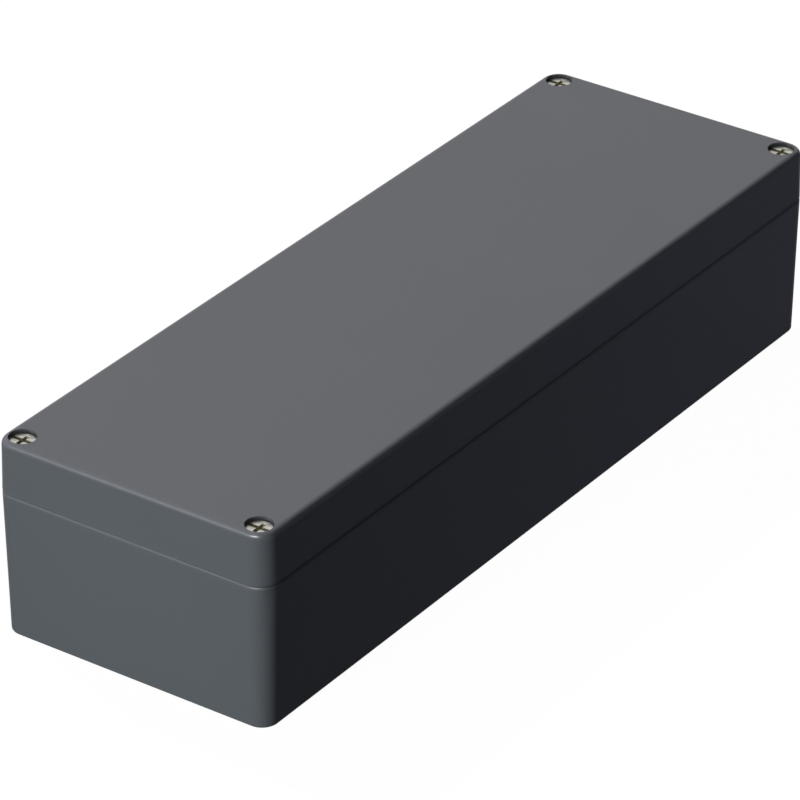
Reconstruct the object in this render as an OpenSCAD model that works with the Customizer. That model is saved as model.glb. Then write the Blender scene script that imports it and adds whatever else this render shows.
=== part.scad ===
// Die-cast aluminium wall enclosure with a screwed-on lid.
// Length runs along X, width along Y and Z points up. The origin is the middle of the underside.

/* [Enclosure] */
// Outside length where lid and base meet
length = 360; // [220:1:600]
// Outside width where lid and base meet
width = 120; // [95:1:220]
// Height of the closed enclosure
height = 80; // [60:1:160]
// Height of the lid
lid_height = 21; // [18:0.5:30]
// Radius of the upright corners where lid and base meet
corner_radius = 8; // [6:0.1:12]
// Draft of the outside walls in degrees
draft_angle = 1.2; // [0.5:0.1:2]
// Radius of the edge around the top of the lid
lid_edge_radius = 2.6; // [1:0.1:4]
// Radius of the lower outside edge of the lid
lid_rim_radius = 0.4; // [0.2:0.1:0.8]
// Radius of the upper outside edge of the base
rim_edge_radius = 1.3; // [0.4:0.1:1.4]
// Radius of the edge around the underside
foot_edge_radius = 1; // [0.4:0.1:3]

/* [Walls] */
// Thickness of the floor of the base
floor_thickness = 4.5; // [3.5:0.1:7]
// Thickness of the top of the lid
top_thickness = 4.5; // [3:0.1:6]
// Draft of the walls inside the lid in degrees
lid_inner_draft = 4; // [1:0.5:6]
// Fillet between the inside walls and the floor or the top
inner_fillet = 2.5; // [1:0.1:4]

/* [Seal] */
// From the outside of the wall to the middle of the seal
seal_edge = 4; // [3.4:0.1:5]
// Width of the gasket groove in the lid
groove_width = 4; // [3:0.1:4.6]
// Depth of the gasket groove in the lid
groove_depth = 4; // [3:0.1:5]
// Metal between the groove and the inside of the lid
groove_lip = 1.8; // [1.2:0.1:3]
// Width of the tongue on the base that presses on the gasket
tongue_width = 1.8; // [1.2:0.1:2.4]
// Height of the tongue
tongue_height = 1.5; // [1:0.1:2]
// Ledge between the tongue and the inside of the base
tongue_ledge = 0.3; // [0.2:0.1:1]
// Gap on each side of the gasket in its groove
gasket_clearance = 0.2; // [0.1:0.05:0.4]
// Radius of the seal line at its outward corners
seal_corner_radius = 9; // [5:0.1:10]
// Radius of the seal line where it turns around the corner blocks
seal_notch_radius = 4; // [3:0.1:5]

/* [Lid screws] */
// From the outside of the walls to the axis of a lid screw
screw_edge = 8; // [7:0.1:9]
// Diameter of the thread
thread_d = 6; // [5:0.1:7]
// How far the thread stands out from the turned-down shank
shank_step = 0.65; // [0.4:0.05:0.9]
// Diameter of the cheese head
head_d = 10; // [9:0.1:11]
// Height of the cheese head
head_height = 3.9; // [3:0.1:4.5]
// How far the head lies below the top of the lid
head_drop = 1.5; // [0.5:0.1:2.5]
// Gap around the head in its counterbore
head_clearance = 0.3; // [0.2:0.05:0.5]
// Metal of the lid under the head
web_thickness = 4.1; // [3:0.1:5]
// Gap around the thread in the hole through the lid
web_clearance = 0.3; // [0.2:0.05:0.5]
// How far the thread reaches into the base
thread_reach = 9.4; // [7:0.1:12]
// Gap around the thread in the base
thread_clearance = 0.1; // [0.05:0.01:0.1]
// Depth of the screw hole below the tip of the screw
hole_runout = 4.6; // [1:0.1:8]
// Width of the countersink around the screw hole
hole_countersink = 0.6; // [0.3:0.1:0.9]
// Bevel at the tip of the thread
tip_bevel = 0.7; // [0.3:0.1:1.2]
// Bevel around the top of the head
head_bevel = 0.4; // [0.2:0.1:0.8]
// Width of the screwdriver slot
slot_width = 1.6; // [1.2:0.1:2]
// Depth of the screwdriver slot
slot_depth = 1.7; // [1.2:0.1:2.2]
// Width across the cross recess at the top of the head
cross_width = 6.2; // [5:0.1:7.5]
// Depth of the cross recess
cross_depth = 2.6; // [2:0.1:2.8]

/* [Screw retainers] */
// How far a retaining ring reaches under the metal beside the hole
retainer_hold = 1.2; // [0.6:0.1:1.6]
// Thickness of a retaining ring
retainer_thickness = 1.5; // [1:0.1:2.2]
// Gap between a retaining ring and the shank
retainer_clearance = 0.1; // [0.05:0.01:0.1]
// Height of a retaining ring above the top of the base
retainer_lift = 0.5; // [0.3:0.1:1]
// Gap around a retaining ring in the lid
relief_clearance = 0.4; // [0.2:0.1:0.6]

/* [Wall fixing] */
// From the ends to the fixing holes
fixing_edge_x = 10; // [9:0.1:14]
// From the long sides to the fixing holes
fixing_edge_y = 19; // [18:0.1:26]
// Diameter of the fixing holes
fixing_hole_d = 6.6; // [4.5:0.1:7]
// Diameter of the shafts above the fixing holes
fixing_shaft_d = 11; // [9:0.1:12]
// Metal under the head of a fixing screw
fixing_floor = 6; // [4:0.1:12]
// From a fixing shaft to the seal line
corner_wall = 3; // [2.4:0.1:5]

/* [Inside bosses] */
// Diameter of the bosses at their tops
boss_d = 10; // [7:0.1:13]
// Height of the bosses above the floor
boss_height = 6; // [3:0.1:12]
// Draft of the bosses in degrees
boss_draft = 2; // [0.5:0.5:4]
// Diameter of the holes in the bosses
boss_hole_d = 3.3; // [2.5:0.1:5]
// Metal below the holes in the bosses
boss_hole_floor = 2.5; // [1.5:0.1:3.5]
// From the ends to the plate bosses
plate_edge_x = 40; // [34:1:50]
// From the long sides to the plate bosses
plate_edge_y = 25; // [20:1:30]
// From the ends to the rail bosses
rail_edge = 17; // [14:0.5:22]

/* [Earth terminal] */
// From the end to the earth terminal
earth_edge = 68; // [60:1:90]
// Diameter of the earth boss at its top
earth_boss_d = 13; // [11.5:0.1:16]
// Height of the earth boss above the floor
earth_boss_height = 5; // [4:0.1:10]
// Diameter of the earth screw
earth_thread_d = 5; // [4:0.1:6]
// Gap around the earth screw in its hole and its washer
earth_clearance = 0.05; // [0.02:0.01:0.1]
// How far the earth screw reaches into its boss
earth_reach = 6; // [4.5:0.1:6.5]
// Depth of the hole below the tip of the earth screw
earth_runout = 0.5; // [0.3:0.1:1]
// Bevel at the tip of the earth screw
earth_tip_bevel = 0.5; // [0.2:0.1:1]
// Diameter of the earth screw head
earth_head_d = 9.4; // [8:0.1:10.4]
// Height of the earth screw head
earth_head_height = 3.4; // [2.6:0.1:4.2]
// Radius around the top of the earth screw head
earth_head_radius = 1.4; // [0.8:0.1:1.8]
// Width across the cross recess of the earth screw
earth_cross_width = 5.6; // [4:0.1:6.5]
// Depth of the cross recess of the earth screw
earth_cross_depth = 2.3; // [1.5:0.1:2.4]
// Width of the arms of that recess
earth_cross_arm = 1.3; // [0.9:0.1:1.6]
// Diameter of the toothed washer
earth_washer_d = 11; // [10:0.1:12]
// Thickness of the toothed washer
earth_washer_thickness = 0.9; // [0.6:0.1:1.4]
// Teeth around the washer
washer_teeth = 14; // [8:1:18]
// Depth of the gaps between the teeth
washer_gap_depth = 1.1; // [0.6:0.1:1.6]
// Width of the gaps between the teeth
washer_gap_width = 0.8; // [0.5:0.1:1.2]

/* [Hidden] */
$fn = 48;
arc_steps = 8;
fillet_steps = 4;
overlap = 1;
draft_slope = tan(draft_angle);
base_height = height - lid_height;
screw_x = length / 2 - screw_edge;
screw_y = width / 2 - screw_edge;
screw_places = [[-screw_x, -screw_y], [screw_x, -screw_y], [screw_x, screw_y], [-screw_x, screw_y]];
fixing_x = length / 2 - fixing_edge_x;
fixing_y = width / 2 - fixing_edge_y;
seal_x = length / 2 - seal_edge;
seal_y = width / 2 - seal_edge;
notch_x = fixing_x - fixing_shaft_d / 2 - corner_wall;
notch_y = fixing_y - fixing_shaft_d / 2 - corner_wall;
notch_step = min(seal_x - notch_x, seal_y - notch_y);
smallest_radius = 0.5;
cavity_inset = tongue_width / 2 + tongue_ledge;
hollow_inset = groove_width / 2 + groove_lip;
head_top = height - head_drop;
head_seat = head_top - head_height;
counterbore_d = head_d + 2 * head_clearance;
web_under = head_seat - web_thickness;
web_hole_d = thread_d + 2 * web_clearance;
shank_d = thread_d - 2 * shank_step;
retainer_d = web_hole_d + 2 * retainer_hold;
relief_d = retainer_d + 2 * relief_clearance;
shoulder = base_height + retainer_lift;
retainer_top = shoulder + retainer_thickness;
thread_tip = base_height - thread_reach;
screw_hole_d = thread_d + 2 * thread_clearance;
boss_top = floor_thickness + boss_height;
plate_x = length / 2 - plate_edge_x;
plate_y = width / 2 - plate_edge_y;
rail_x = length / 2 - rail_edge;
earth_x = earth_edge - length / 2;
earth_top = floor_thickness + earth_boss_height;
earth_tip = earth_top - earth_reach;
earth_seat = earth_top + earth_washer_thickness;
earth_crown = earth_seat + earth_head_height;
earth_hole_d = earth_thread_d + 2 * earth_clearance;

// Points on an arc around a centre
function arc(centre, r, from, to) =
    [for (i = [0:arc_steps]) let (a = from + (to - from) * i / arc_steps) centre + r * [cos(a), sin(a)]];

function reversed(points) = [for (i = [len(points) - 1:-1:0]) points[i]];

// One quarter of the seal line, moved inwards by the inset
function seal_quarter(inset) =
    let (
        end = seal_x - inset,
        side = seal_y - inset,
        notch = [notch_x - inset, notch_y - inset],
        outward = max(smallest_radius, min(seal_corner_radius, notch_step - seal_notch_radius) - inset),
        turn = max(smallest_radius, seal_notch_radius + inset))
    concat(
        arc([end - outward, notch.y - outward], outward, 0, 90),
        arc(notch + [turn, turn], turn, 270, 180),
        arc([notch.x - outward, side - outward], outward, 0, 90));

// The seal line around the inside, notched around the four corner blocks
function seal_line(inset) =
    let (quarter = seal_quarter(inset))
    concat(
        quarter,
        [for (p = reversed(quarter)) [-p.x, p.y]],
        [for (p = quarter) [-p.x, -p.y]],
        [for (p = reversed(quarter)) [p.x, -p.y]]);

// Levels of a fillet as [height, inset] from the wall to the flat; up is 1 for a ceiling, -1 for a floor
function fillet_levels(flat, inset, up) =
    [for (i = [0:fillet_steps])
        let (a = 90 * i / fillet_steps)
        [flat - up * inner_fillet * (1 - sin(a)), inset + inner_fillet * (1 - cos(a))]];

// A solid through seal lines at [height, inset] levels, from the lowest to the highest
module seal_loft(levels) {
    rings = [for (level = levels) [for (p = seal_line(level[1])) [p.x, p.y, level[0]]]];
    n = len(rings[0]);
    last = len(levels) - 1;
    walls = [for (k = [0:last - 1], i = [0:n - 1])
        let (a = k * n + i, b = k * n + (i + 1) % n)
        each [[a, a + n, b], [b, a + n, b + n]]];
    low_cap = [for (i = [0:n - 1]) i];
    high_cap = [for (i = [n - 1:-1:0]) last * n + i];
    polyhedron([for (ring = rings) each ring], concat(walls, [low_cap, high_cap]));
}

// A flat ring along the seal line
module seal_ring(ring_width, low, high) {
    translate([0, 0, low])
        linear_extrude(high - low)
            difference() {
                polygon(seal_line(-ring_width / 2));
                polygon(seal_line(ring_width / 2));
            }
}

// A block with round upright corners, from half of its section drawn outwards from the corner axis
module rounded_block(low, high) {
    axis_x = length / 2 - corner_radius;
    axis_y = width / 2 - corner_radius;
    translate([-axis_x, -axis_y, low])
        cube([2 * axis_x, 2 * axis_y, high - low]);
    for (turn = [0, 180])
        rotate(turn) {
            translate([axis_x, axis_y, 0])
                rotate([90, 0, 0])
                    linear_extrude(2 * axis_y)
                        children();
            translate([-axis_x, axis_y, 0])
                rotate([90, 0, 90])
                    linear_extrude(2 * axis_x)
                        children();
            translate([axis_x, axis_y, 0])
                rotate_extrude(angle = 90)
                    children();
            translate([axis_x, -axis_y, 0])
                rotate(-90)
                    rotate_extrude(angle = 90)
                        children();
        }
}

// Half section of a casting from the corner axis to the outside, risen from where lid and base meet
module wall_section(rim_radius, far_radius, rise) {
    out = [cos(draft_angle), sin(draft_angle)];
    rim = [corner_radius - rim_radius, rim_radius];
    far_rise = rise - far_radius;
    far = [rim.x - (far_radius - rim_radius + (far_rise - rim.y) * out.y) / out.x, far_rise];
    polygon(concat(
        [[0, 0]],
        arc(rim, rim_radius, -90, draft_angle),
        arc(far, far_radius, draft_angle, 90),
        [[0, rise]]));
}

// Copies at the four corners of a rectangle
module at_corners(x, y) {
    for (sx = [-1, 1], sy = [-1, 1])
        translate([sx * x, sy * y, 0])
            children();
}

// Copies at both ends of the middle line
module at_ends(x) {
    for (sx = [-1, 1])
        translate([sx * x, 0, 0])
            children();
}

// A round post or hole between two heights
module post(d, low, high) {
    translate([0, 0, low])
        cylinder(d = d, h = high - low);
}

// A cast boss on the floor, wider at its foot
module boss(d, top) {
    low = floor_thickness - overlap;
    foot_d = d + 2 * (top - low) * tan(boss_draft);
    translate([0, 0, low])
        cylinder(d1 = foot_d, d2 = d, h = top - low);
}

// The room inside the base, filleted at the floor and sunk below it
module base_cavity() {
    fillet_inset = cavity_inset + (base_height - floor_thickness - inner_fillet) * draft_slope;
    sunk = [floor_thickness - overlap, fillet_inset + inner_fillet];
    mouth = [base_height + overlap, cavity_inset - overlap * draft_slope];
    seal_loft(concat([sunk], reversed(fillet_levels(floor_thickness, fillet_inset, -1)), [mouth]));
}

// The flat of the floor, which reaches under the walls
module base_floor() {
    translate([0, 0, floor_thickness - 2 * overlap])
        linear_extrude(2 * overlap)
            polygon(seal_line(cavity_inset));
}

// The room inside the lid, filleted at the top
module lid_hollow() {
    slope = tan(lid_inner_draft);
    ceiling = height - top_thickness;
    fillet_inset = hollow_inset + (ceiling - inner_fillet - base_height) * slope;
    mouth = [base_height - overlap, hollow_inset - overlap * slope];
    seal_loft(concat([mouth], fillet_levels(ceiling, fillet_inset, 1)));
}

// Tapped hole for a lid screw
module screw_hole() {
    post(screw_hole_d, thread_tip - hole_runout, base_height + overlap);
    translate([0, 0, base_height - hole_countersink])
        cylinder(d1 = screw_hole_d, d2 = screw_hole_d + 2 * hole_countersink, h = hole_countersink);
}

// Die-cast base with corner blocks, seal tongue and floor bosses
module base_box() {
    color([0.36, 0.37, 0.39])
        difference() {
            union() {
                difference() {
                    rounded_block(0, base_height)
                        translate([0, base_height])
                            mirror([0, 1])
                                wall_section(rim_edge_radius, foot_edge_radius, base_height);
                    base_cavity();
                }
                base_floor();
                seal_ring(tongue_width, base_height - overlap, base_height + tongue_height);
                at_corners(plate_x, plate_y)
                    boss(boss_d, boss_top);
                at_ends(rail_x)
                    boss(boss_d, boss_top);
                translate([earth_x, 0, 0])
                    boss(earth_boss_d, earth_top);
            }
            at_corners(screw_x, screw_y)
                screw_hole();
            at_corners(fixing_x, fixing_y) {
                post(fixing_hole_d, -overlap, fixing_floor + overlap);
                post(fixing_shaft_d, fixing_floor, base_height + overlap);
            }
            at_corners(plate_x, plate_y)
                post(boss_hole_d, boss_hole_floor, boss_top + overlap);
            at_ends(rail_x)
                post(boss_hole_d, boss_hole_floor, boss_top + overlap);
            translate([earth_x, 0, 0])
                post(earth_hole_d, earth_tip - earth_runout, earth_top + overlap);
        }
}

// Die-cast lid with the gasket groove and a stepped bore at each corner
module lid() {
    color([0.42, 0.43, 0.45])
        difference() {
            rounded_block(base_height, height)
                translate([0, base_height])
                    wall_section(lid_rim_radius, lid_edge_radius, lid_height);
            lid_hollow();
            seal_ring(groove_width, base_height - overlap, base_height + groove_depth);
            at_corners(screw_x, screw_y) {
                post(counterbore_d, head_seat, height + overlap);
                post(web_hole_d, web_under - overlap, head_seat + overlap);
                post(relief_d, base_height - overlap, web_under);
            }
        }
}

// Rubber gasket pressed between the groove in the lid and the tongue on the base
module gasket() {
    gasket_width = groove_width - 2 * gasket_clearance;
    color([0.08, 0.08, 0.08])
        seal_ring(gasket_width, base_height + tongue_height, base_height + groove_depth);
}

// Crossed slots that narrow towards the bottom
module cross_recess(top, across, depth, arm) {
    bottom_share = 0.3;
    translate([0, 0, top - depth])
        intersection() {
            cylinder(d1 = across * bottom_share, d2 = across, h = depth);
            for (turn = [0, 90])
                rotate(turn)
                    translate([-across / 2, -arm / 2, 0])
                        cube([across, arm, depth + overlap]);
        }
}

// Captive cheese-head screw with a slot and a cross recess
module lid_screw(place) {
    head_r = head_d / 2;
    shank_r = shank_d / 2;
    thread_r = thread_d / 2;
    color([0.75, 0.75, 0.71])
        translate(place)
            difference() {
                rotate_extrude()
                    polygon([[0, thread_tip], [thread_r - tip_bevel, thread_tip],
                        [thread_r, thread_tip + tip_bevel], [thread_r, shoulder], [shank_r, shoulder],
                        [shank_r, head_seat], [head_r, head_seat], [head_r, head_top - head_bevel],
                        [head_r - head_bevel, head_top], [0, head_top]]);
                translate([-slot_width / 2, -head_d, head_top - slot_depth])
                    cube([slot_width, 2 * head_d, slot_depth + overlap]);
                cross_recess(head_top, cross_width, cross_depth, slot_width);
            }
}

// Ring that keeps a screw in the lid
module screw_retainer(place) {
    color([0.9, 0.9, 0.88])
        translate(place)
            difference() {
                post(retainer_d, shoulder, retainer_top);
                post(shank_d + 2 * retainer_clearance, shoulder - overlap, retainer_top + overlap);
            }
}

// Pan-head earth screw in its boss
module earth_screw() {
    head_r = earth_head_d / 2;
    thread_r = earth_thread_d / 2;
    dome = [head_r - earth_head_radius, earth_crown - earth_head_radius];
    color([0.76, 0.74, 0.68])
        translate([earth_x, 0, 0])
            difference() {
                rotate_extrude()
                    polygon(concat(
                        [[0, earth_tip], [thread_r - earth_tip_bevel, earth_tip],
                            [thread_r, earth_tip + earth_tip_bevel], [thread_r, earth_seat],
                            [head_r, earth_seat]],
                        arc(dome, earth_head_radius, 0, 90),
                        [[0, earth_crown]]));
                cross_recess(earth_crown, earth_cross_width, earth_cross_depth, earth_cross_arm);
            }
}

// Toothed washer under the earth screw
module earth_washer() {
    gap_start = earth_washer_d / 2 - washer_gap_depth;
    gap_height = earth_washer_thickness + 2 * overlap;
    color([0.7, 0.7, 0.68])
        translate([earth_x, 0, 0])
            difference() {
                post(earth_washer_d, earth_top, earth_seat);
                post(earth_hole_d, earth_top - overlap, earth_seat + overlap);
                for (i = [0:washer_teeth - 1])
                    rotate(360 * i / washer_teeth)
                        translate([gap_start, -washer_gap_width / 2, earth_top - overlap])
                            cube([2 * washer_gap_depth, washer_gap_width, gap_height]);
            }
}

base_box();
lid();
gasket();
lid_screw(screw_places[0]);  // lid_screw_1
lid_screw(screw_places[1]);  // lid_screw_2
lid_screw(screw_places[2]);  // lid_screw_3
lid_screw(screw_places[3]);  // lid_screw_4
screw_retainer(screw_places[0]);  // screw_retainer_1
screw_retainer(screw_places[1]);  // screw_retainer_2
screw_retainer(screw_places[2]);  // screw_retainer_3
screw_retainer(screw_places[3]);  // screw_retainer_4
earth_screw();
earth_washer();
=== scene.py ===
import math

import bmesh
import bpy
from mathutils import Matrix, Vector


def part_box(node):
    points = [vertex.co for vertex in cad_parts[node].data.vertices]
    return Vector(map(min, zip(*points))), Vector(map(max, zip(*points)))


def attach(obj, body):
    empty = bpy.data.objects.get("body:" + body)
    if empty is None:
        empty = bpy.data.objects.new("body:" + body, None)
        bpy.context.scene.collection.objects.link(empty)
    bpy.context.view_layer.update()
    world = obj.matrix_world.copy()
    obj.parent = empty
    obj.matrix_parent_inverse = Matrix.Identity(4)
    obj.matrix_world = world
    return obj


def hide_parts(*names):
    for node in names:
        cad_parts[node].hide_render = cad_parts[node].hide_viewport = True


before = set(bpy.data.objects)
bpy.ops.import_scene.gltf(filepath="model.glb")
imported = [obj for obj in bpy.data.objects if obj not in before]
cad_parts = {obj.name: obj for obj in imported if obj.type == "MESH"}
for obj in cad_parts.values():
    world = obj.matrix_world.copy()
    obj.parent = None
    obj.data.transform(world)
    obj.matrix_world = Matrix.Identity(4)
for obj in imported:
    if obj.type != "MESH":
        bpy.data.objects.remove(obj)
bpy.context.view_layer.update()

scene = bpy.context.scene
mm = 0.001  # settings below are in millimetres and degrees, meshes in metres


# Camera at the photo's angle

photoView = {
    "azimuth": -55.0,
    "elevation": 30.0,
    "target": (-4.7, 6.0, 31.0),
    "distance": 2000.0,
    "lens": 238.8,
    "sensor": 36.0,
}


def placeCamera(s):
    turn, lift = math.radians(s["azimuth"]), math.radians(s["elevation"])
    back = Vector((math.sin(turn) * math.cos(lift), -math.cos(turn) * math.cos(lift), math.sin(lift)))
    data = bpy.data.cameras.new("photoCamera")
    data.lens = s["lens"]
    data.sensor_width = s["sensor"]
    camera = bpy.data.objects.new("photoCamera", data)
    camera.location = (Vector(s["target"]) + back * s["distance"]) * mm
    camera.rotation_euler = (-back).to_track_quat("-Z", "Y").to_euler()
    scene.collection.objects.link(camera)
    scene.camera = camera


placeCamera(photoView)
scene.view_settings.view_transform = "Standard"
print("camera placed")


# Small helpers for node trees

def setSockets(tree, node, values):
    for key, value in values.items():
        if isinstance(value, bpy.types.NodeSocket):
            tree.links.new(value, node.inputs[key])
        else:
            node.inputs[key].default_value = value


def addNode(tree, kind, values=None, **settings):
    node = tree.nodes.new(kind)
    for key, value in settings.items():
        setattr(node, key, value)
    setSockets(tree, node, values or {})
    return node


def addSocket(tree, name, way, kind="Float", value=None):
    socket = tree.interface.new_socket(name=name, in_out=way, socket_type="NodeSocket" + kind)
    if value is not None:
        socket.default_value = value


def useGroup(tree, group, values):
    return addNode(tree, "ShaderNodeGroup", values, node_tree=group).outputs


def doMath(tree, operation, *values):
    return addNode(tree, "ShaderNodeMath", dict(enumerate(values)), operation=operation).outputs[0]


def doVector(tree, operation, *values):
    return addNode(tree, "ShaderNodeVectorMath", dict(enumerate(values)), operation=operation).outputs


def axesOf(tree, place):
    return addNode(tree, "ShaderNodeSeparateXYZ", {0: place}).outputs


def radiusOf(tree, place):
    flat = doVector(tree, "MULTIPLY", place, (1, 1, 0))[0]
    return doVector(tree, "LENGTH", flat)["Value"]


def rangeOf(tree, value, fromLow, fromHigh, toLow, toHigh, way="LINEAR"):
    return addNode(tree, "ShaderNodeMapRange", {
        "Value": value, "From Min": fromLow, "From Max": fromHigh, "To Min": toLow, "To Max": toHigh,
    }, interpolation_type=way).outputs["Result"]


def mixOf(tree, factor, low, high):
    return addNode(tree, "ShaderNodeMix", {"Factor": factor, "A": low, "B": high}).outputs["Result"]


def tintBetween(tree, factor, low, high):
    tints = {"Factor": factor, "A": low, "B": high}
    for key in "AB":
        if isinstance(tints[key], tuple):
            tints[key] = (*tints[key], 1)
    return addNode(tree, "ShaderNodeMix", tints, data_type="RGBA").outputs["Result"]


def noiseOf(tree, place, scale, detail):
    values = {"Vector": place, "Scale": scale, "Detail": detail}
    return addNode(tree, "ShaderNodeTexNoise", values).outputs["Fac"]


def endTree(tree, geometry, finish):
    whole = addNode(tree, "GeometryNodeRealizeInstances", {"Geometry": geometry}).outputs[0]
    worn = addNode(tree, "GeometryNodeSetMaterial", {"Geometry": whole, "Material": finish}).outputs[0]
    addNode(tree, "NodeGroupOutput", {"Geometry": worn})


# Small helpers for meshes and pieces

roundSteps = 4   # along the rounded edge of the gasket, a ring or the washer


def newObject(name, mesh):
    made = bpy.data.objects.new(name, mesh)
    scene.collection.objects.link(made)
    return made


def dropObject(holder):
    mesh = holder.data
    bpy.data.objects.remove(holder)
    bpy.data.meshes.remove(mesh)


def growTree(holder, tree, values):
    grown = holder.modifiers.new(tree.name, "NODES")
    grown.node_group = tree
    for item in tree.interface.items_tree:
        if item.in_out == "INPUT" and item.name in values:
            grown[item.identifier] = values[item.name]


def bakeModifiers(holder):
    bpy.context.view_layer.update()
    solved = holder.evaluated_get(bpy.context.evaluated_depsgraph_get())
    mesh = bpy.data.meshes.new_from_object(solved)
    mesh.name = holder.name
    holder.modifiers.clear()
    holder.data = mesh


def faceOutwards(mesh, weld=0.001):
    shape = bmesh.new()
    shape.from_mesh(mesh)
    bmesh.ops.remove_doubles(shape, verts=shape.verts, dist=weld * mm)
    bmesh.ops.recalc_face_normals(shape, faces=shape.faces)
    shape.to_mesh(mesh)
    shape.free()
    mesh.validate()   # drops a face that the weld left doubled


def smoothBy(mesh, degrees):
    mesh.shade_smooth()
    mesh.set_sharp_from_angle(angle=math.radians(degrees))


def arcPoints(centre, radius, start, stop, steps):
    angles = [math.radians(start + (stop - start) * i / steps) for i in range(steps + 1)]
    return [(centre[0] + radius * math.cos(a), centre[1] + radius * math.sin(a)) for a in angles]


def placeOf(node):
    low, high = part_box(node)
    return Vector(((low.x + high.x) / 2, (low.y + high.y) / 2, 0))


def setPiece(piece, body, slot, *nodes):
    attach(piece, body)
    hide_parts(*nodes)


# Studio: pale floor, white surround and soft lamps

floorStage = {
    "reach": 4000.0,
    "drop": 0.2,                     # just under the foot of the box
    "glow": (0.0, 0.98, 0.11),       # for light thrown back, for the eye and for gloss
    "paper": (0.012, 0.035, 0.02),   # what the lamps add to each, so the shadow stays
}

surround = {
    "seen": 1.0,
    "mirrored": (0.20, 0.65),          # shaded side and bright side
    "turn": (-0.4, 0.1),               # where along Y one side gives way to the other
    "panel": (-0.657, 0.497, 0.567),   # towards a bright panel that only gloss meets
    "panelLight": 7.5,
    "panelEdge": (0.972, 0.996),       # cosines where the panel fades out and is full
    "flag": (0.709, -0.58, 0.40),      # towards a dark flag that keeps the shaded seam dark
    "flagShade": 0.12,
    "flagEdge": (0.80, 0.93),
    "ambient": 0.028,
    "tint": (0.70, 0.74, 1.0),
}

castings = bpy.data.collections.new("castings")   # the glint lamp lights these alone

lamps = [
    {"name": "keyLamp", "place": (800, 3000, 3320), "size": 300, "light": 3.04,
     "tint": (0.98, 0.97, 1.0), "gloss": False},
    {"name": "topLamp", "place": (-800, 0, 900), "size": 300, "light": 0.64,
     "tint": (0.98, 0.97, 1.0), "gloss": False},
    {"name": "frontLamp", "place": (-1080, 30, 110), "size": 200, "light": 1.64,
     "tint": (0.855, 0.97, 1.0), "gloss": False},
    {"name": "sideLamp", "place": (690, -760, 30), "size": 300, "light": 0.60,
     "tint": (0.675, 0.735, 1.0), "gloss": False},
    {"name": "glintLamp", "place": (-2130, -200, 2100), "size": 1500, "height": 350, "light": 7.6,
     "tint": (1.0, 1.0, 1.0), "matte": False, "only": castings},
]


def rayMix(tree, base, seen, mirrored):
    path = addNode(tree, "ShaderNodeLightPath").outputs
    direct = doMath(tree, "MAXIMUM", path["Is Camera Ray"], path["Is Transmission Ray"])
    total = doMath(tree, "MULTIPLY_ADD", direct, seen - base, base)
    gloss = doMath(tree, "SUBTRACT", mirrored, base)
    return doMath(tree, "MULTIPLY_ADD", path["Is Glossy Ray"], gloss, total)


def layFloor(s):
    mesh = bpy.data.meshes.new("studioFloor")
    r, z = s["reach"] * mm, -s["drop"] * mm
    mesh.from_pydata([(-r, -r, z), (r, -r, z), (r, r, z), (-r, r, z)], [], [(0, 1, 2, 3)])
    paper = bpy.data.materials.new("studioPaper")
    paper.use_nodes = True
    tree = paper.node_tree
    tree.nodes.clear()
    matte = addNode(tree, "ShaderNodeBsdfDiffuse", {"Color": rayMix(tree, *s["paper"])})
    light = addNode(tree, "ShaderNodeEmission", {"Strength": rayMix(tree, *s["glow"])})
    both = addNode(tree, "ShaderNodeAddShader", {0: matte.outputs[0], 1: light.outputs[0]})
    addNode(tree, "ShaderNodeOutputMaterial", {"Surface": both.outputs[0]})
    mesh.materials.append(paper)
    newObject("studioFloor", mesh)


def patchOf(tree, towards, middle, edge, outside, inside):
    facing = doVector(tree, "DOT_PRODUCT", towards, Vector(middle).normalized())["Value"]
    return rangeOf(tree, facing, *edge, outside, inside, "SMOOTHSTEP")


def setSurround(s):
    world = bpy.data.worlds.new("studioSurround")
    world.use_nodes = True
    tree = world.node_tree
    tree.nodes.clear()
    path = addNode(tree, "ShaderNodeLightPath").outputs
    towards = addNode(tree, "ShaderNodeTexCoord").outputs["Generated"]
    mirrored = rangeOf(tree, axesOf(tree, towards)["Y"], *s["turn"], *s["mirrored"], "SMOOTHSTEP")
    panel = patchOf(tree, towards, s["panel"], s["panelEdge"], 0.0, s["panelLight"])
    flag = patchOf(tree, towards, s["flag"], s["flagEdge"], 1.0, s["flagShade"])
    mirrored = doMath(tree, "MULTIPLY_ADD", mirrored, flag, panel)
    strength = rayMix(tree, s["ambient"], s["seen"], mirrored)
    plain = doMath(tree, "MAXIMUM", path["Is Camera Ray"], path["Is Glossy Ray"])
    tint = tintBetween(tree, plain, s["tint"], (1, 1, 1))
    back = addNode(tree, "ShaderNodeBackground", {"Color": tint, "Strength": strength})
    addNode(tree, "ShaderNodeOutputWorld", {"Surface": back.outputs[0]})
    scene.world = world


def hangLamp(s):
    place = Vector(s["place"]) * mm
    data = bpy.data.lights.new(s["name"], "AREA")
    data.shape = "RECTANGLE" if "height" in s else "DISK"
    data.size = s["size"] * mm
    data.size_y = s.get("height", s["size"]) * mm
    data.energy = s["light"] * math.pi * place.length_squared   # so that light is what falls on the middle
    data.color = s["tint"]
    lamp = bpy.data.objects.new(s["name"], data)
    lamp.location = place
    lamp.rotation_euler = place.to_track_quat("Z", "Y").to_euler()
    lamp.visible_diffuse = s.get("matte", True)
    lamp.visible_glossy = s.get("gloss", True)
    if "only" in s:
        lamp.light_linking.receiver_collection = s["only"]
    scene.collection.objects.link(lamp)


layFloor(floorStage)
setSurround(surround)
for lamp in lamps:
    hangLamp(lamp)
print("studio lit by", len(lamps), "lamps")


# Shared effects as shader groups

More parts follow.
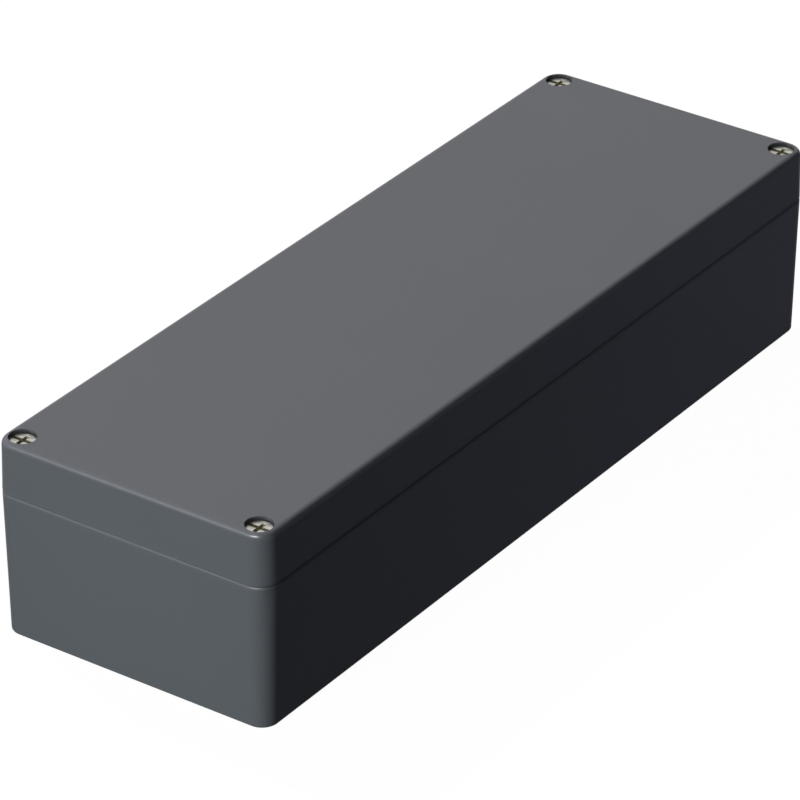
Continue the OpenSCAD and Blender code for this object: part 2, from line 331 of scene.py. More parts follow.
def powderSkinGroup():
    tree = bpy.data.node_groups.new("powderSkin", "ShaderNodeTree")
    addSocket(tree, "Vector", "INPUT", "Vector")
    addSocket(tree, "Peel Scale", "INPUT", value=700.0)
    addSocket(tree, "Grain Scale", "INPUT", value=3200.0)
    addSocket(tree, "Cloud Scale", "INPUT", value=14.0)
    addSocket(tree, "Height", "OUTPUT")
    addSocket(tree, "Shade", "OUTPUT")
    addSocket(tree, "Gloss", "OUTPUT")
    given = addNode(tree, "NodeGroupInput").outputs
    peel = noiseOf(tree, given["Vector"], given["Peel Scale"], 1.0)
    grain = noiseOf(tree, given["Vector"], given["Grain Scale"], 2.0)
    cloud = noiseOf(tree, given["Vector"], given["Cloud Scale"], 3.0)
    height = doMath(tree, "MULTIPLY_ADD", grain, 0.3, peel)
    gloss = doMath(tree, "MULTIPLY_ADD", grain, 0.5, cloud)
    addNode(tree, "NodeGroupOutput", {"Height": height, "Shade": cloud, "Gloss": gloss})
    return tree


def turningMarksGroup():
    tree = bpy.data.node_groups.new("turningMarks", "ShaderNodeTree")
    addSocket(tree, "Vector", "INPUT", "Vector")
    addSocket(tree, "Axis Place", "INPUT", "Vector")   # in the quarter where X and Y are positive
    addSocket(tree, "Pitch", "INPUT", value=0.0003)
    addSocket(tree, "Height", "OUTPUT")
    addSocket(tree, "Tone", "OUTPUT")
    addSocket(tree, "Radius", "OUTPUT")
    given = addNode(tree, "NodeGroupInput").outputs
    mirrored = doVector(tree, "ABSOLUTE", given["Vector"])[0]
    radius = radiusOf(tree, doVector(tree, "SUBTRACT", mirrored, given["Axis Place"])[0])
    turns = doMath(tree, "DIVIDE", radius, given["Pitch"])
    wave = doMath(tree, "SINE", doMath(tree, "MULTIPLY", turns, math.tau))
    rings = {"W": turns, "Scale": 0.35, "Detail": 2.0}
    tone = addNode(tree, "ShaderNodeTexNoise", rings, noise_dimensions="1D").outputs["Fac"]
    addNode(tree, "NodeGroupOutput", {"Height": wave, "Tone": tone, "Radius": radius})
    return tree


powderSkin = powderSkinGroup()
turningMarks = turningMarksGroup()
glossSpan = (0.45, 1.05)   # where the values of the skin's Gloss lie


def skinOf(tree, place, s):
    peel, grain = s["scales"]
    return useGroup(tree, powderSkin, {"Vector": place, "Peel Scale": peel, "Grain Scale": grain})


def marksOf(tree, place, axis, pitch):
    centre = (axis[0] * mm, axis[1] * mm, 0)
    return useGroup(tree, turningMarks, {"Vector": place, "Axis Place": centre, "Pitch": pitch * mm})


def newFinish(name):
    material = bpy.data.materials.new(name)
    material.use_nodes = True
    tree = material.node_tree
    shader = tree.nodes["Principled BSDF"]
    place = addNode(tree, "ShaderNodeTexCoord").outputs["Object"]
    return material, tree, shader, place


def bumpFrom(tree, height, strength, depth):
    values = {"Height": height, "Strength": strength, "Distance": depth * mm}
    return addNode(tree, "ShaderNodeBump", values).outputs[0]


# Grey powder coat

coatFinish = {
    "scales": (700.0, 3200.0),    # of peel and grain, here and in the other finishes
    "clouds": (0.3, 0.7),
    "dark": (0.118, 0.122, 0.130),
    "light": (0.122, 0.126, 0.134),
    "gloss": (0.275, 0.305),
    "bump": (0.25, 0.02),         # strength and depth
    "ior": 1.30,
    "rim": (58.35, 0.75),         # middle and half height of the base's rounded rim
    "rimRough": 0.14,             # the coat is duller there
    "seam": (58.7, 0.3, 2.3),     # height, and how far from it the painted light and shade of the seam is full and gone
    "seamPaintedLightAndShade": (1.06, 0.79),     # times the coat's colour: painted light along the short sides, painted shade along the long sides
    "longSides": (56.0, 59.0),    # across Y, where the short sides give way to the long ones
}


# Painted light and shade in the coat's colour along the seam of base and lid: lighter on the short sides,
# darker on the long sides
def paintSeamLightAndShade(tree, axes, s):
    middle, full, gone = [v * mm for v in s["seam"]]
    away = doMath(tree, "ABSOLUTE", doMath(tree, "SUBTRACT", axes["Z"], middle))
    near = rangeOf(tree, away, full, gone, 1.0, 0.0)
    across = doMath(tree, "ABSOLUTE", axes["Y"])
    tone = rangeOf(tree, across, *[v * mm for v in s["longSides"]], *s["seamPaintedLightAndShade"])
    return doMath(tree, "MULTIPLY_ADD", near, doMath(tree, "SUBTRACT", tone, 1.0), 1.0)


def greyCoat(s):
    material, tree, shader, place = newFinish("greyPowderCoat")
    skin = skinOf(tree, place, s)
    axes = axesOf(tree, place)
    shade = rangeOf(tree, skin["Shade"], *s["clouds"], 0.0, 1.0)
    tint = tintBetween(tree, shade, s["dark"], s["light"])
    # painted light and shade of the seam, as a factor on the coat's colour
    tone = paintSeamLightAndShade(tree, axes, s)
    seamPainted = addNode(tree, "ShaderNodeVectorMath", {0: tint, "Scale": tone}, operation="SCALE")
    gloss = rangeOf(tree, skin["Gloss"], *glossSpan, *s["gloss"])
    onRim = doMath(tree, "COMPARE", axes["Z"], *[v * mm for v in s["rim"]])
    setSockets(tree, shader, {
        "Base Color": seamPainted.outputs[0],
        "Roughness": doMath(tree, "MULTIPLY_ADD", onRim, s["rimRough"], gloss),
        "Normal": bumpFrom(tree, skin["Height"], *s["bump"]),
        "IOR": s["ior"],
    })
    return material


# Bare casting, machined on the rim and the bosses

castFinish = {
    "scales": (420.0, 1900.0),
    "flow": (9.0, 42.0, 42.0),      # the metal's streaks are stretched along X
    "streaks": (0.32, 0.68),
    "dark": (0.42, 0.43, 0.44),
    "light": (0.60, 0.61, 0.62),
    "gloss": (0.42, 0.58),
    "bump": (0.35, 0.05),
    "metal": 0.75,
    "machined": (10.5, 9.5, 59.0),   # heights of the boss tops, the earth boss and the rim
    "machinedBand": 0.04,
    "machinedGloss": -0.16,
    "bossPlace": (140.0, 35.0),
    "marksPitch": 0.35,
    "tapPlace": (172.0, 52.0),
    "tapReach": 3.4,
    "tapTop": 58.3,
    "tapPitch": 1.0,
    "tapRelief": 6.0,              # times the depth of the bump
}


def machinedMask(tree, height, s):
    masks = [doMath(tree, "COMPARE", height, level * mm, s["machinedBand"] * mm) for level in s["machined"]]
    whole = masks[0]
    for mask in masks[1:]:
        whole = doMath(tree, "MAXIMUM", whole, mask)
    return whole


def tapThread(tree, place, height, relief, s):
    hole = marksOf(tree, place, s["tapPlace"], s["tapPitch"])
    within = doMath(tree, "LESS_THAN", hole["Radius"], s["tapReach"] * mm)
    tapped = doMath(tree, "MULTIPLY", doMath(tree, "LESS_THAN", height, s["tapTop"] * mm), within)
    wave = doMath(tree, "SINE", doMath(tree, "MULTIPLY", height, math.tau / (s["tapPitch"] * mm)))
    return mixOf(tree, tapped, relief, doMath(tree, "MULTIPLY", wave, s["tapRelief"]))


def bareCast(s):
    material, tree, shader, place = newFinish("bareCastAluminium")
    skin = skinOf(tree, place, s)
    marks = marksOf(tree, place, s["bossPlace"], s["marksPitch"])
    height = axesOf(tree, place)["Z"]
    machined = machinedMask(tree, height, s)
    flow = addNode(tree, "ShaderNodeMapping", {"Vector": place, "Scale": s["flow"]}).outputs[0]
    streaks = rangeOf(tree, noiseOf(tree, flow, 2.0, 5.0), *s["streaks"], 0.0, 1.0)
    shade = mixOf(tree, machined, streaks, marks["Tone"])
    rough = rangeOf(tree, skin["Gloss"], *glossSpan, *s["gloss"])
    relief = mixOf(tree, machined, skin["Height"], marks["Height"])
    relief = tapThread(tree, place, height, relief, s)
    setSockets(tree, shader, {
        "Base Color": tintBetween(tree, shade, s["dark"], s["light"]),
        "Roughness": doMath(tree, "MULTIPLY_ADD", machined, s["machinedGloss"], rough),
        "Normal": bumpFrom(tree, relief, *s["bump"]),
        "Metallic": s["metal"],
    })
    return material


# Plated steel of the screws, duller in their recesses and painted darker there as painted shade

plating = {
    "scales": (900.0, 5200.0),
    "marksPitch": 0.22,
    "tones": (0.35, 0.65),
    "skinRelief": 0.6,
    "bump": (0.12, 0.01),
    "recessRough": 0.34,
    "metal": 0.85,
}

screwFinish = {
    "name": "nickelPlatedSteel",
    "dark": (0.72, 0.71, 0.63),
    "light": (0.86, 0.85, 0.77),
    "gloss": (0.24, 0.38),
    "axis": (172.0, 52.0),
    "recess": (4.93, 75.5, 78.46),   # reach from the axis, lowest and highest point
    # painted shade: colour inside the cross and slot, darker in place of the shade that falls there
    "recessPaintedShade": (0.34, 0.33, 0.21),
}

earthFinish = {
    "name": "zincPlatedSteel",
    "dark": (0.50, 0.47, 0.38),
    "light": (0.68, 0.65, 0.55),
    "gloss": (0.26, 0.42),
    "axis": (112.0, 0.0),
    "recess": (2.95, 11.3, 13.75),
    # painted shade: colour inside the cross recess, darker in place of the shade that falls there
    "recessPaintedShade": (0.20, 0.19, 0.13),
}


# where the cross and slot are cut: rougher there, and painted shade in the colour
def recessMask(tree, place, radius, s):
    reach, low, high = [v * mm for v in s["recess"]]
    height = axesOf(tree, place)["Z"]
    within = doMath(tree, "LESS_THAN", radius, reach)
    between = doMath(tree, "MULTIPLY", doMath(tree, "GREATER_THAN", height, low), within)
    return doMath(tree, "MULTIPLY", doMath(tree, "LESS_THAN", height, high), between)


def platedSteel(s, p):
    material, tree, shader, place = newFinish(s["name"])
    skin = skinOf(tree, place, p)
    marks = marksOf(tree, place, s["axis"], p["marksPitch"])
    shade = doMath(tree, "MULTIPLY", doMath(tree, "ADD", marks["Tone"], skin["Shade"]), 0.5)
    plate = tintBetween(tree, rangeOf(tree, shade, *p["tones"], 0.0, 1.0), s["dark"], s["light"])
    recess = recessMask(tree, place, marks["Radius"], s)
    sheen = rangeOf(tree, skin["Gloss"], *glossSpan, *s["gloss"])
    relief = doMath(tree, "MULTIPLY_ADD", skin["Height"], p["skinRelief"], marks["Height"])
    setSockets(tree, shader, {
        # painted shade in the recesses: the recess colour replaces the plating there
        "Base Color": tintBetween(tree, recess, plate, s["recessPaintedShade"]),
        "Roughness": doMath(tree, "MULTIPLY_ADD", recess, p["recessRough"], sheen),
        "Normal": bumpFrom(tree, relief, *p["bump"]),
        "Metallic": p["metal"],
    })
    return material


# Seal rubber and nylon

rubberFinish = {
    "name": "blackSealRubber",
    "scales": (300.0, 2600.0),
    "clouds": (0.35, 0.75),
    "dark": (0.012, 0.012, 0.013),
    "light": (0.030, 0.030, 0.032),
    "gloss": (0.62, 0.80),
    "bump": (0.3, 0.03),
}

nylonFinish = {
    "name": "naturalNylon",
    "scales": (260.0, 2400.0),
    "clouds": (0.3, 0.7),
    "dark": (0.70, 0.68, 0.61),
    "light": (0.80, 0.79, 0.73),
    "gloss": (0.36, 0.48),
    "bump": (0.15, 0.02),
}


def mouldedFinish(s):
    material, tree, shader, place = newFinish(s["name"])
    skin = skinOf(tree, place, s)
    shade = rangeOf(tree, skin["Shade"], *s["clouds"], 0.0, 1.0)
    setSockets(tree, shader, {
        "Base Color": tintBetween(tree, shade, s["dark"], s["light"]),
        "Roughness": rangeOf(tree, skin["Gloss"], *glossSpan, *s["gloss"]),
        "Normal": bumpFrom(tree, skin["Height"], *s["bump"]),
    })
    return material


coat = greyCoat(coatFinish)
cast = bareCast(castFinish)
screwSteel = platedSteel(screwFinish, plating)
earthSteel = platedSteel(earthFinish, plating)
rubber = mouldedFinish(rubberFinish)
nylon = mouldedFinish(nylonFinish)
print("finishes made:", len(bpy.data.materials))


# Castings: welded copies of the base and the lid with softened edges, coated outside and bare inside

sealRoute = {
    "end": 176.0,
    "side": 56.0,
    "notch": (161.5, 32.5),
    "cornerRadius": 9.0,
    "notchRadius": 4.0,
    "steps": 12,
}

castingMesh = {
    "weld": 0.002,
    "flatWithin": 0.2,
    "edge": 0.25,
    "edgeFrom": 32.0,
    "edgeSteps": 2,
    "smoothTo": 40.0,
}

baseCasting = {
    "name": "baseCasting",
    "node": "base_box",
    "body": "base",
    "bareGrow": 1.0,        # bare as far as the outside of the tongue
    "bareHeights": (1.0, 80.0),
    "bareHoles": [((170.0, 41.0), 5.7), ((172.0, 52.0), 3.9)],
    "rim": (59.0, 0.02),    # height and band of the machined flat, bare all over
}

lidCasting = {
    "name": "lidCasting",
    "node": "lid",
    "body": "lid",
    "bareGrow": 2.2,        # bare as far as the outside of the groove
    "bareHeights": (50.0, 76.0),
    "bareHoles": [((172.0, 52.0), 5.0)],
    "rim": (59.0, 0.02),
}


def insideSeal(x, y, grow):
    s = sealRoute
    bend = s["notchRadius"]
    alongX, alongY = x - s["notch"][0], y - s["notch"][1]
    inEnds = x < s["end"] + grow and alongY < grow
    inSides = alongX < grow and y < s["side"] + grow
    inBend = max(alongX, alongY) < bend < math.hypot(alongX - bend, alongY - bend) + grow
    return inEnds or inSides or inBend


def isBare(face, s):
    centre = face.calc_center_median() / mm
    x, y, z = abs(centre.x), abs(centre.y), centre.z
    low, high = s["bareHeights"]
    if not low < z < high:
        return False
    height, band = s["rim"]
    onRim = abs(z - height) < band and abs(face.normal.z) > 0.999   # level, unlike the rounding beside it
    inHole = any(math.hypot(x - px, y - py) < r for (px, py), r in s["bareHoles"])
    return onRim or inHole or insideSeal(x, y, s["bareGrow"])


def makeCasting(s, m):
    shape = bmesh.new()
    shape.from_mesh(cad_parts[s["node"]].data)
    bmesh.ops.remove_doubles(shape, verts=shape.verts, dist=m["weld"] * mm)
    flat = math.radians(m["flatWithin"])
    bmesh.ops.dissolve_limit(shape, angle_limit=flat, verts=shape.verts, edges=shape.edges)
    for face in shape.faces:
        face.material_index = 1 if isBare(face, s) else 0
    mesh = bpy.data.meshes.new(s["name"])
    shape.to_mesh(mesh)
    shape.free()
    for layer in ("custom_normal", "sharp_edge", "sharp_face"):
        if layer in mesh.attributes:
            mesh.attributes.remove(mesh.attributes[layer])
    mesh.materials.append(coat)
    mesh.materials.append(cast)
    piece = newObject(s["name"], mesh)
    edge = piece.modifiers.new("softEdges", "BEVEL")
    edge.width = m["edge"] * mm
    edge.segments = m["edgeSteps"]
    edge.limit_method = "ANGLE"
    edge.angle_limit = math.radians(m["edgeFrom"])
    edge.miter_outer = "MITER_ARC"
    bakeModifiers(piece)
    smoothBy(piece.data, m["smoothTo"])
    weigh = piece.modifiers.new("flatFaces", "WEIGHTED_NORMAL")
    weigh.keep_sharp = True
    bakeModifiers(piece)
    castings.objects.link(piece)
    setPiece(piece, s["body"], "coated_casting", s["node"])
    print(s["name"], len(piece.data.polygons), "faces")


makeCasting(baseCasting, castingMesh)
makeCasting(lidCasting, castingMesh)


# Gasket: a rounded strip swept along the seal line

gasketStrip = {
    "width": 3.6,
    "height": 2.5,
    "round": 0.5,
    "smoothTo": 35.0,
}


def sealPath(s):
    big, small, n = s["cornerRadius"], s["notchRadius"], s["steps"]
    nx, ny = s["notch"]
    quarter = arcPoints((s["end"] - big, ny - big), big, 0, 90, n)
    quarter += arcPoints((nx + small, ny + small), small, 270, 180, n)
    quarter += arcPoints((nx - big, s["side"] - big), big, 0, 90, n)
    back = quarter[::-1]
    around = quarter + [(-x, y) for x, y in back]
    around += [(-x, -y) for x, y in quarter] + [(x, -y) for x, y in back]
    return around


def gasketSweepTree():
    tree = bpy.data.node_groups.new("gasketSweep", "GeometryNodeTree")
    addSocket(tree, "Geometry", "INPUT", "Geometry")
    addSocket(tree, "Width", "INPUT", value=0.003)
    addSocket(tree, "Height", "INPUT", value=0.002)
    addSocket(tree, "Edge Radius", "INPUT", value=0.0004)
    addSocket(tree, "Finish", "INPUT", "Material")
    addSocket(tree, "Geometry", "OUTPUT", "Geometry")
    given = addNode(tree, "NodeGroupInput").outputs
    path = addNode(tree, "GeometryNodeMeshToCurve", {"Mesh": given["Geometry"]})
    level = addNode(tree, "GeometryNodeSetCurveNormal", {"Curve": path.outputs[0]}, mode="Z_UP")
    size = {"Width": given["Width"], "Height": given["Height"]}
    box = addNode(tree, "GeometryNodeCurvePrimitiveQuadrilateral", size)
    rounding = {"Curve": box.outputs[0], "Radius": given["Edge Radius"], "Count": roundSteps}
    section = addNode(tree, "GeometryNodeFilletCurve", rounding, mode="POLY")
    sweep = {"Curve": level.outputs[0], "Profile Curve": section.outputs[0]}
    strip = addNode(tree, "GeometryNodeCurveToMesh", sweep)
    endTree(tree, strip.outputs[0], given["Finish"])
    return tree


def makeGasket(s):
    low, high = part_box("gasket")
    middle = (low.z + high.z) / 2
    points = [(x * mm, y * mm, middle) for x, y in sealPath(sealRoute)]
    count = len(points)
    mesh = bpy.data.meshes.new("sealGasket")
    mesh.from_pydata(points, [(i, (i + 1) % count) for i in range(count)], [])
    piece = newObject("sealGasket", mesh)
    growTree(piece, gasketSweepTree(), {
        "Width": s["width"] * mm,
        "Height": s["height"] * mm,
        "Edge Radius": s["round"] * mm,
        "Finish": rubber,
    })
    bakeModifiers(piece)
    faceOutwards(piece.data)
    smoothBy(piece.data, s["smoothTo"])
    setPiece(piece, "lid", "seal_rubber", "gasket")
    print("gasket", len(piece.data.polygons), "faces, box", [round(v / mm, 2) for v in piece.dimensions])


makeGasket(gasketStrip)


# Screws: turned blanks whose thread is cut by a node tree, then slotted

lidScrew = {
    "tip": 49.6,
    "shoulder": 59.5,
    "seat": 74.6,
    "top": 78.5,
    "threadRadius": 3.0,
    "threadDepth": 0.6,
    "pitch": 1.0,
    "tipBevel": 0.7,
    "shankRadius": 2.35,
    "headRadius": 5.0,
    "headRound": 0.4,
    "slot": (1.6, 1.7),         # width and depth
    "cross": (6.2, 2.6, 1.6),   # width, depth and arm
    "edge": 0.12,
}

earthScrew = {
    "tip": 3.5,
    "shoulder": 10.4,
    "seat": 10.4,
    "top": 13.8,
    "threadRadius": 2.5,
    "threadDepth": 0.48,
    "pitch": 0.8,
    "tipBevel": 0.5,
    "shankRadius": 2.5,
    "headRadius": 4.7,
    "headRound": 1.4,
    "slot": None,
    "cross": (5.6, 2.3, 1.3),
    "edge": 0.1,
}

screwMesh = {
    "segments": 48,
    "rowsPerTurn": 12,
    "crownSteps": 6,
    "threadShift": 0.01,    # the cut runs from this far under the tip to this far under the shoulder
    "headFrom": 0.05,       # edges further than this above the seat are softened
    "edgeFrom": 35.0,
    "edgeSteps": 2,
    "smoothTo": 32.0,
    "crossFoot": 0.3,       # width at the foot of the cross, as a share of its top
    "cutterRise": 0.5,      # how far the cutters stand out of the head
    "slotExtra": 0.002,     # keeps the slot's walls off those of the cross
}


def turned(name, outline, segments, closed=False):
    shape = bmesh.new()
    rings = []
    for radius, z in outline:
        if radius == 0:
            rings.append([shape.verts.new((0, 0, z * mm))])
            continue
        angles = [math.tau * i / segments for i in range(segments)]
        r = radius * mm
        rings.append([shape.verts.new((r * math.cos(a), r * math.sin(a), z * mm)) for a in angles])
    pairs = list(zip(rings, rings[1:]))
    if closed:
        pairs.append((rings[-1], rings[0]))
    for low, high in pairs:
        for i in range(segments):
            j = (i + 1) % segments
            if len(low) == 1:
                shape.faces.new((low[0], high[j], high[i]))
            elif len(high) == 1:
                shape.faces.new((low[i], low[j], high[0]))
            else:
                shape.faces.new((low[i], low[j], high[j], high[i]))
    bmesh.ops.recalc_face_normals(shape, faces=shape.faces)
    mesh = bpy.data.meshes.new(name)
    shape.to_mesh(mesh)
    shape.free()
    return mesh


def threadCutTree():
    tree = bpy.data.node_groups.new("threadCut", "GeometryNodeTree")
    addSocket(tree, "Geometry", "INPUT", "Geometry")
    addSocket(tree, "Pitch", "INPUT", value=0.001)
    addSocket(tree, "Crest Radius", "INPUT", value=0.003)
    addSocket(tree, "Depth", "INPUT", value=0.0006)
    addSocket(tree, "Low", "INPUT")
    addSocket(tree, "High", "INPUT")
    addSocket(tree, "Finish", "INPUT", "Material")
    addSocket(tree, "Geometry", "OUTPUT", "Geometry")
    given = addNode(tree, "NodeGroupInput").outputs
    place = addNode(tree, "GeometryNodeInputPosition").outputs[0]
    axes = axesOf(tree, place)
    turn = doMath(tree, "DIVIDE", doMath(tree, "ARCTAN2", axes["Y"], axes["X"]), math.tau)
    climb = doMath(tree, "SUBTRACT", doMath(tree, "DIVIDE", axes["Z"], given["Pitch"]), turn)
    flank = doMath(tree, "MULTIPLY", doMath(tree, "PINGPONG", climb, 0.5), 2.0)
    crest = doMath(tree, "MINIMUM", doMath(tree, "MULTIPLY", flank, 1.2), 1.0)   # flat on top
    sunk = doMath(tree, "MULTIPLY", doMath(tree, "SUBTRACT", 1.0, crest), given["Depth"])
    limit = doMath(tree, "SUBTRACT", given["Crest Radius"], sunk)
    radius = radiusOf(tree, place)
    kept = doMath(tree, "MINIMUM", radius, limit)
    share = doMath(tree, "DIVIDE", kept, doMath(tree, "MAXIMUM", radius, 1e-7))   # never divides by nothing
    narrowed = addNode(tree, "ShaderNodeCombineXYZ", {
        "X": doMath(tree, "MULTIPLY", axes["X"], share),
        "Y": doMath(tree, "MULTIPLY", axes["Y"], share),
        "Z": axes["Z"],
    })
    above = doMath(tree, "GREATER_THAN", axes["Z"], given["Low"])
    below = doMath(tree, "LESS_THAN", axes["Z"], given["High"])
    threaded = doMath(tree, "MULTIPLY", above, below)
    cut = addNode(tree, "GeometryNodeSetPosition", {
        "Geometry": given["Geometry"], "Selection": threaded, "Position": narrowed.outputs[0],
    })
    endTree(tree, cut.outputs[0], given["Finish"])
    return tree


threadCut = threadCutTree()


def screwOutline(s, m):
    start = s["tip"] + s["tipBevel"]
    rows = int((s["shoulder"] - start) / s["pitch"] * m["rowsPerTurn"])
    outline = [(0, s["tip"]), (s["threadRadius"] - s["tipBevel"], s["tip"])]
    outline += [(s["threadRadius"], start + (s["shoulder"] - start) * i / rows) for i in range(rows + 1)]
    if s["shankRadius"] < s["threadRadius"]:
        outline += [(s["shankRadius"], s["shoulder"]), (s["shankRadius"], s["seat"])]
    crown = (s["headRadius"] - s["headRound"], s["top"] - s["headRound"])
    outline += [(s["headRadius"], s["seat"])]
    outline += arcPoints(crown, s["headRound"], 0, 90, m["crownSteps"])
    outline += [(0, s["top"])]
    return outline


def barMesh(name, topLength, lowLength, width, low, high):
    shape = bmesh.new()
    corners = []
    for length, z in ((lowLength, low), (topLength, high)):
        for sx, sy in ((-1, -1), (1, -1), (1, 1), (-1, 1)):
            corners.append(shape.verts.new((sx * length / 2 * mm, sy * width / 2 * mm, z * mm)))
    for face in ((3, 2, 1, 0), (4, 5, 6, 7), (0, 1, 5, 4), (1, 2, 6, 5), (2, 3, 7, 6), (3, 0, 4, 7)):
        shape.faces.new([corners[i] for i in face])
    mesh = bpy.data.meshes.new(name)
    shape.to_mesh(mesh)
    shape.free()
    return mesh


def recessCutters(s, m):
    above, foot = m["cutterRise"], m["crossFoot"]
    across, depth, arm = s["cross"]
    grown = across * (1 + (1 - foot) * above / depth)
    bars = [
        ("alongX", grown, across * foot, arm, depth, 0),
        ("alongY", grown, across * foot, arm, depth, 90),
    ]
    if s["slot"]:
        width, drop = s["slot"]
        past = s["headRadius"] * 4
        bars.append(("slot", past, past, width + m["slotExtra"], drop, 90))
    cutters = []
    for name, topLength, lowLength, width, drop, turn in bars:
        mesh = barMesh(name, topLength, lowLength, width, s["top"] - drop, s["top"] + above)
        mesh.transform(Matrix.Rotation(math.radians(turn), 4, "Z"))
        cutters.append(newObject(name, mesh))
    return cutters


def screwBlank(name, s, m, finish):
    blank = newObject(name, turned(name, screwOutline(s, m), m["segments"]))
    growTree(blank, threadCut, {
        "Pitch": s["pitch"] * mm,
        "Crest Radius": s["threadRadius"] * mm,
        "Depth": s["threadDepth"] * mm,
        "Low": (s["tip"] - m["threadShift"]) * mm,
        "High": (s["shoulder"] - m["threadShift"]) * mm,
        "Finish": finish,
    })
    cutters = recessCutters(s, m)
    for cutter in cutters:
        cut = blank.modifiers.new(cutter.name, "BOOLEAN")
        cut.operation = "DIFFERENCE"
        cut.solver = "EXACT"
        cut.object = cutter
    bakeModifiers(blank)
    for cutter in cutters:
        dropObject(cutter)
    softenHead(blank, s, m)
    return blank


def softenHead(blank, s, m):
    shape = bmesh.new()
    shape.from_mesh(blank.data)
    weight = shape.edges.layers.float.new("bevel_weight_edge")
    for edge in shape.edges:
        inHead = min(v.co.z for v in edge.verts) > (s["seat"] + m["headFrom"]) * mm
        if inHead and len(edge.link_faces) == 2 and edge.calc_face_angle() > math.radians(m["edgeFrom"]):
            edge[weight] = 1.0
    shape.to_mesh(blank.data)
    shape.free()
    soft = blank.modifiers.new("softEdges", "BEVEL")
    soft.limit_method = "WEIGHT"
    soft.width = s["edge"] * mm
    soft.segments = m["edgeSteps"]
    bakeModifiers(blank)
    smoothBy(blank.data, m["smoothTo"])


def setScrews():
    blank = screwBlank("screwBlank", lidScrew, screwMesh, screwSteel)
    for i in range(1, 5):
        name = f"lidScrew{i}"
        mesh = blank.data.copy()
        mesh.name = name
        mesh.transform(Matrix.Translation(placeOf(f"lid_screw_{i}")))
        setPiece(newObject(name, mesh), f"screw_{i}", "screw_steel", f"lid_screw_{i}")
    print("lid screws", len(blank.data.polygons), "faces each")
    dropObject(blank)
    earth = screwBlank("earthScrew", earthScrew, screwMesh, earthSteel)
    earth.data.transform(Matrix.Translation(placeOf("earth_screw")))
    setPiece(earth, "base", "earth_steel", "earth_screw")
    print("earth screw", len(earth.data.polygons), "faces")


setScrews()


# Retaining rings on the screw shanks

retainerRing = {
    "inner": 2.45,
    "outer": 4.5,
    "low": 59.5,
    "high": 61.0,
    "round": 0.25,
    "segments": 48,
    "smoothTo": 40.0,
}


def ringOutline(s):
    r = s["round"]
    corners = [
        ((s["outer"] - r, s["low"] + r), -90),
        ((s["outer"] - r, s["high"] - r), 0),
        ((s["inner"] + r, s["high"] - r), 90),
        ((s["inner"] + r, s["low"] + r), 180),
    ]
    outline = []
    for centre, start in corners:
        outline += arcPoints(centre, r, start, start + 90, roundSteps)
    return outline


def setRetainers(s):
    for i in range(1, 5):
        name = f"screwRetainer{i}"
        mesh = turned(name, ringOutline(s), s["segments"], closed=True)
        mesh.transform(Matrix.Translation(placeOf(f"screw_retainer_{i}")))
        mesh.materials.append(nylon)
        smoothBy(mesh, s["smoothTo"])
        setPiece(newObject(name, mesh), f"retainer_{i}", "ring_nylon", f"screw_retainer_{i}")
    print("retaining rings set")


setRetainers(retainerRing)


# Toothed washer: a disc with gaps repeated around it

toothedWasher = {
    "outer": 5.5,
    "inner": 2.55,
    "low": 9.5,
    "high": 10.4,
    "round": 0.1,
    "teeth": 14,
    "gapDepth": 1.1,
    "gapWidth": 0.8,
    "segments": 84,
    "smoothTo": 35.0,
}


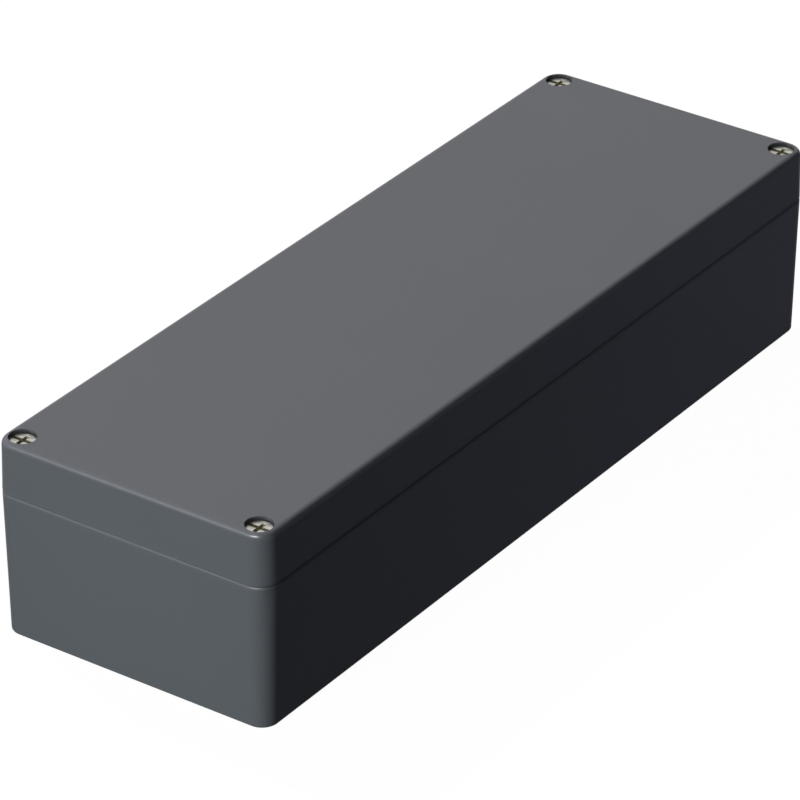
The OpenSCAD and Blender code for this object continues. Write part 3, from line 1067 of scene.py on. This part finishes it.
def toothGapsTree():
    tree = bpy.data.node_groups.new("toothGaps", "GeometryNodeTree")
    addSocket(tree, "Geometry", "INPUT", "Geometry")
    addSocket(tree, "Teeth", "INPUT", "Int", 14)
    addSocket(tree, "Outer Radius", "INPUT", value=0.005)
    addSocket(tree, "Gap Depth", "INPUT", value=0.001)
    addSocket(tree, "Gap Width", "INPUT", value=0.001)
    addSocket(tree, "Thickness", "INPUT", value=0.001)
    addSocket(tree, "Height", "INPUT", value=0.0)
    addSocket(tree, "Finish", "INPUT", "Material")
    addSocket(tree, "Geometry", "OUTPUT", "Geometry")
    given = addNode(tree, "NodeGroupInput").outputs
    circle = {"Vertices": given["Teeth"], "Radius": given["Outer Radius"]}
    ring = addNode(tree, "GeometryNodeMeshCircle", circle).outputs[0]
    rise = addNode(tree, "ShaderNodeCombineXYZ", {"Z": given["Height"]}).outputs[0]
    lifted = addNode(tree, "GeometryNodeTransform", {"Geometry": ring, "Translation": rise})
    size = addNode(tree, "ShaderNodeCombineXYZ", {
        "X": doMath(tree, "MULTIPLY", given["Gap Depth"], 2.0),   # the outer half is past the rim
        "Y": given["Gap Width"],
        "Z": doMath(tree, "MULTIPLY", given["Thickness"], 3.0),   # well through both faces
    })
    gap = addNode(tree, "GeometryNodeMeshCube", {"Size": size.outputs[0]})
    axes = axesOf(tree, addNode(tree, "GeometryNodeInputPosition").outputs[0])
    turn = addNode(tree, "ShaderNodeCombineXYZ", {"Z": doMath(tree, "ARCTAN2", axes["Y"], axes["X"])})
    gaps = addNode(tree, "GeometryNodeInstanceOnPoints", {
        "Points": lifted.outputs[0], "Instance": gap.outputs[0], "Rotation": turn.outputs[0],
    })
    cutters = addNode(tree, "GeometryNodeRealizeInstances", {"Geometry": gaps.outputs[0]}).outputs[0]
    meshes = {"Mesh 1": given["Geometry"], "Mesh 2": cutters}
    cut = addNode(tree, "GeometryNodeMeshBoolean", meshes, operation="DIFFERENCE")
    endTree(tree, cut.outputs[0], given["Finish"])
    return tree


def setWasher(s):
    disc = newObject("earthWasher", turned("earthWasher", ringOutline(s), s["segments"], closed=True))
    growTree(disc, toothGapsTree(), {
        "Teeth": s["teeth"],
        "Outer Radius": s["outer"] * mm,
        "Gap Depth": s["gapDepth"] * mm,
        "Gap Width": s["gapWidth"] * mm,
        "Thickness": (s["high"] - s["low"]) * mm,
        "Height": (s["high"] + s["low"]) / 2 * mm,
        "Finish": earthSteel,
    })
    bakeModifiers(disc)
    faceOutwards(disc.data)
    smoothBy(disc.data, s["smoothTo"])
    disc.data.transform(Matrix.Translation(placeOf("earth_washer")))
    setPiece(disc, "base", "earth_steel", "earth_washer")
    print("earth washer", len(disc.data.polygons), "faces")


setWasher(toothedWasher)
